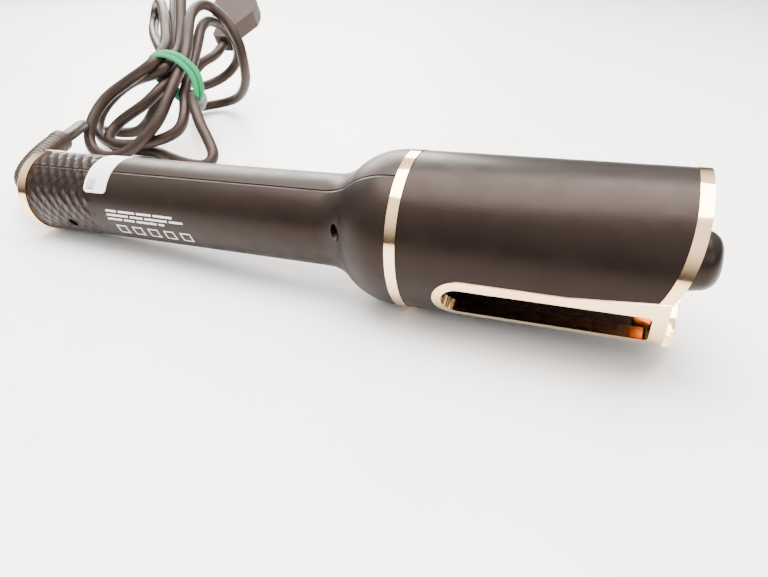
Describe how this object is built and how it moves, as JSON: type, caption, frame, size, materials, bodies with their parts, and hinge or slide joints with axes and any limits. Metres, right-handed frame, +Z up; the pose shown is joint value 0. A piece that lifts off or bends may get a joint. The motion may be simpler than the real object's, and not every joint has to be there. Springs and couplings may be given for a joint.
{
  "type": "automatic hair curler",
  "caption": "Handheld hair curler with a rotating heated barrel in an open-mouthed chamber with a hair slot, a button handle and a swivelling mains cord tied in a hank.",
  "frame": {"origin": "on the table under the middle of the curler's own box, without the cord", "axes": "+X towards the barrel's nose, +Z up from the table, +Y to the side where the cord lies; the curler lies on its neck and tail rings, nose slightly up"},
  "size_m": [0.3736, 0.2955, 0.0994],
  "materials": {
    "shell": "fine satin moulding",
    "rose_gold": "polished rose-gold plating",
    "gloss": "piano gloss",
    "window": "smoked clear window",
    "heat_ceramic": "dark ceramic-coated barrel, satin",
    "heat_plastic": "heat-resistant plastic",
    "steel": "turned steel",
    "aluminium": "extruded aluminium",
    "bronze": "sintered bronze",
    "brass": "bright brass",
    "gear_plastic": "natural acetal",
    "carbon": "pressed carbon",
    "board": "green solder resist",
    "component": "component bodies",
    "white_ceramic": "heating ceramic",
    "keypad": "silicone rubber",
    "button": "satin key cap",
    "sticker": "white paper-faced film",
    "cord": "satin PVC sheath",
    "tie": "green rubber-coated tie",
    "plug": "moulded PVC"
  },
  "bodies": {
    "cord_set": {"swivel_drum": "heat_plastic", "swivel_contact_rings": "brass", "cord_relief": "cord", "power_cord": "cord", "cord_hank": "cord", "cord_tie": "tie", "cord_loops": "cord", "cord_return": "cord", "plug_lead": "cord", "plug_body": "plug", "plug_pins": "brass"},
    "handle": {"front_shell": "shell", "back_shell": "shell", "neck_ring": "rose_gold", "tail_ring": "rose_gold", "tail_cap": "shell", "chamber_shell": "shell", "chamber_liner": "heat_plastic", "mouth_trim": "rose_gold", "bulkhead": "heat_plastic", "front_bearing": "bronze", "rear_bearing": "bronze", "gear_frame": "heat_plastic", "motor_gearbox": "brass", "motor_can": "steel", "brush_holder": "heat_plastic", "carbon_brushes": "carbon", "panel_plate": "gloss", "display_window": "window", "display_module": "component", "keypad": "keypad", "control_board": "board", "power_board": "board", "power_components": "component", "shell_screws": "steel", "rating_sticker": "sticker", "swivel_socket": "heat_plastic", "contact_fingers": "brass"},
    "barrel": {"barrel_tube": "heat_ceramic", "barrel_hub": "heat_plastic", "hub_shaft": "steel", "heater_blocks": "aluminium", "heater_plate": "white_ceramic", "nose_cap": "heat_plastic", "slip_ring_sleeve": "heat_plastic", "slip_rings": "brass", "drive_gear": "gear_plastic"},
    "pinion": {"motor_shaft": "steel", "motor_pinion": "brass"},
    "power_button_cap": {"power_button": "button"},
    "temperature_button_cap": {"temperature_button": "button"},
    "timer_button_cap": {"timer_button": "button"},
    "rotate_left_button_cap": {"rotate_left_button": "button"},
    "rotate_right_button_cap": {"rotate_right_button": "button"}
  },
  "joints": [
    {"name": "cord_swivel", "type": "hinge", "parent": "cord_set", "child": "handle", "pos_m": [-0.15056, 0.00014, 0.0185], "axis": [0.9982, 0, 0.0604], "continuous": true},
    {"name": "barrel_spin", "type": "hinge", "parent": "handle", "child": "barrel", "pos_m": [0.04558, 0.00014, 0.03036], "axis": [0.9982, 0, 0.0604], "continuous": true},
    {"name": "pinion_spin", "type": "hinge", "parent": "handle", "child": "pinion", "pos_m": [0.02357, -0.00839, 0.02485], "axis": [0.9982, 0, 0.0604], "continuous": true},
    {"name": "power_press", "type": "slide", "parent": "handle", "child": "power_button_cap", "axis": [0.0266, -0.898, -0.4391], "range_m": [0, 0.0008], "stiffness_N_per_m": 500, "springref_m": -0.0004},
    {"name": "temperature_press", "type": "slide", "parent": "handle", "child": "temperature_button_cap", "axis": [0.0266, -0.898, -0.4391], "range_m": [0, 0.0008], "stiffness_N_per_m": 500, "springref_m": -0.0004},
    {"name": "timer_press", "type": "slide", "parent": "handle", "child": "timer_button_cap", "axis": [0.0266, -0.898, -0.4391], "range_m": [0, 0.0008], "stiffness_N_per_m": 500, "springref_m": -0.0004},
    {"name": "rotate_left_press", "type": "slide", "parent": "handle", "child": "rotate_left_button_cap", "axis": [0.0266, -0.898, -0.4391], "range_m": [0, 0.0008], "stiffness_N_per_m": 500, "springref_m": -0.0004},
    {"name": "rotate_right_press", "type": "slide", "parent": "handle", "child": "rotate_right_button_cap", "axis": [0.0266, -0.898, -0.4391], "range_m": [0, 0.0008], "stiffness_N_per_m": 500, "springref_m": -0.0004}
  ],
  "couplings": [
    {"joint": "pinion_spin", "follows": "barrel_spin", "ratio": -2.1667}
  ]
}
